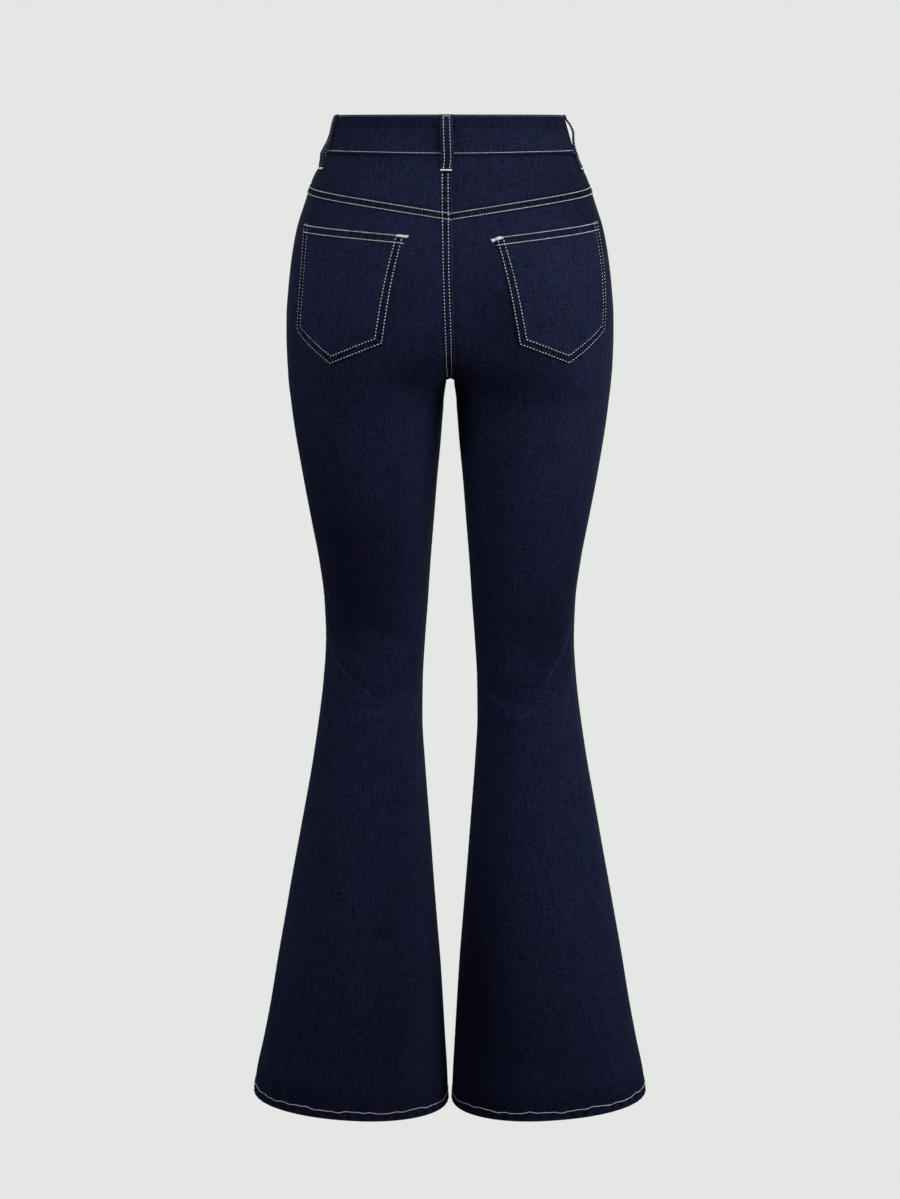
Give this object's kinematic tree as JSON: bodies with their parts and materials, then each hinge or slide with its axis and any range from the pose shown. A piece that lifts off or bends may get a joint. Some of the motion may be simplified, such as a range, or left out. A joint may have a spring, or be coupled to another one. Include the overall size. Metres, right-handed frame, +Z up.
{
  "type": "flared jeans",
  "caption": "High-rise flared denim jeans, filled out hollow as worn, open at the waist and at both hems.",
  "frame": {"origin": "centre of the waist opening, level with the waistband's top edge, where the wearer's waist holds the jeans", "axes": "+Z up along the wearer, -Y the way the jeans face, +X the wearer's left"},
  "size_m": [0.434, 0.2327, 1.0826],
  "materials": {
    "denim": "dark indigo stretch twill",
    "pocket_facing_denim": "dark indigo stretch twill",
    "antique_brass": "antique brass, satin",
    "topstitch_thread": "cream polyester thread"
  },
  "bodies": {
    "root": {"waistband": "denim", "yoke_left": "denim", "yoke_right": "denim", "back_leg_left": "denim", "back_leg_right": "denim", "front_leg_left": "denim", "front_leg_right": "denim", "pocket_facing_left": "pocket_facing_denim", "pocket_facing_right": "pocket_facing_denim", "back_pocket_left": "denim", "back_pocket_right": "denim", "belt_loop_back": "denim", "belt_loop_side_left": "denim", "belt_loop_side_right": "denim", "belt_loop_front_left": "denim", "belt_loop_front_right": "denim", "waist_button": "antique_brass"}
  },
  "joints": []
}
